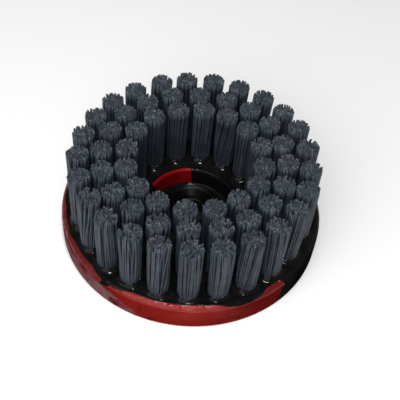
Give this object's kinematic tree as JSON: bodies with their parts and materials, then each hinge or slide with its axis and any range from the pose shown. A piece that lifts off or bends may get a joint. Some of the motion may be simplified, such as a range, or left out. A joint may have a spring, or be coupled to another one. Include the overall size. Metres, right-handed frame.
{
  "type": "disc brush",
  "caption": "Round cleaning brush for an angle grinder or polisher: a shallow dish with rings of abrasive bristle tufts set in resin and a threaded hub in the middle.",
  "frame": {"origin": "centre of the dish's flat back face, on the spindle axis", "axes": "+Z along the spindle axis towards the bristle tips; +X and +Y lie in the back face, and tufts are numbered anticlockwise from +X"},
  "size_m": [0.11, 0.11, 0.04],
  "materials": {
    "dish_moulding": "glossy red moulded plastic with black resin overrun",
    "potting_resin": "glossy black poured resin, slightly wavy",
    "hub_steel": "dark turned steel",
    "bristle": "dark blue-grey abrasive nylon filament"
  },
  "bodies": {
    "root": {"dish": "dish_moulding", "threaded_hub": "hub_steel", "potting_resin": "potting_resin", "outer_tuft_01": "bristle", "outer_tuft_02": "bristle", "outer_tuft_03": "bristle", "outer_tuft_04": "bristle", "outer_tuft_05": "bristle", "outer_tuft_06": "bristle", "outer_tuft_07": "bristle", "outer_tuft_08": "bristle", "outer_tuft_09": "bristle", "outer_tuft_10": "bristle", "outer_tuft_11": "bristle", "outer_tuft_12": "bristle", "outer_tuft_13": "bristle", "outer_tuft_14": "bristle", "outer_tuft_15": "bristle", "outer_tuft_16": "bristle", "outer_tuft_17": "bristle", "outer_tuft_18": "bristle", "outer_tuft_19": "bristle", "outer_tuft_20": "bristle", "outer_tuft_21": "bristle", "outer_tuft_22": "bristle", "outer_tuft_23": "bristle", "outer_tuft_24": "bristle", "outer_tuft_25": "bristle", "middle_tuft_01": "bristle", "middle_tuft_02": "bristle", "middle_tuft_03": "bristle", "middle_tuft_04": "bristle", "middle_tuft_05": "bristle", "middle_tuft_06": "bristle", "middle_tuft_07": "bristle", "middle_tuft_08": "bristle", "middle_tuft_09": "bristle", "middle_tuft_10": "bristle", "middle_tuft_11": "bristle", "middle_tuft_12": "bristle", "middle_tuft_13": "bristle", "middle_tuft_14": "bristle", "middle_tuft_15": "bristle", "middle_tuft_16": "bristle", "middle_tuft_17": "bristle", "middle_tuft_18": "bristle", "middle_tuft_19": "bristle", "middle_tuft_20": "bristle", "inner_tuft_pair_01": "bristle", "inner_tuft_pair_02": "bristle", "inner_tuft_pair_03": "bristle", "inner_tuft_pair_04": "bristle", "inner_tuft_pair_05": "bristle", "inner_tuft_pair_06": "bristle", "inner_tuft_pair_07": "bristle", "inner_tuft_pair_08": "bristle"}
  },
  "joints": []
}
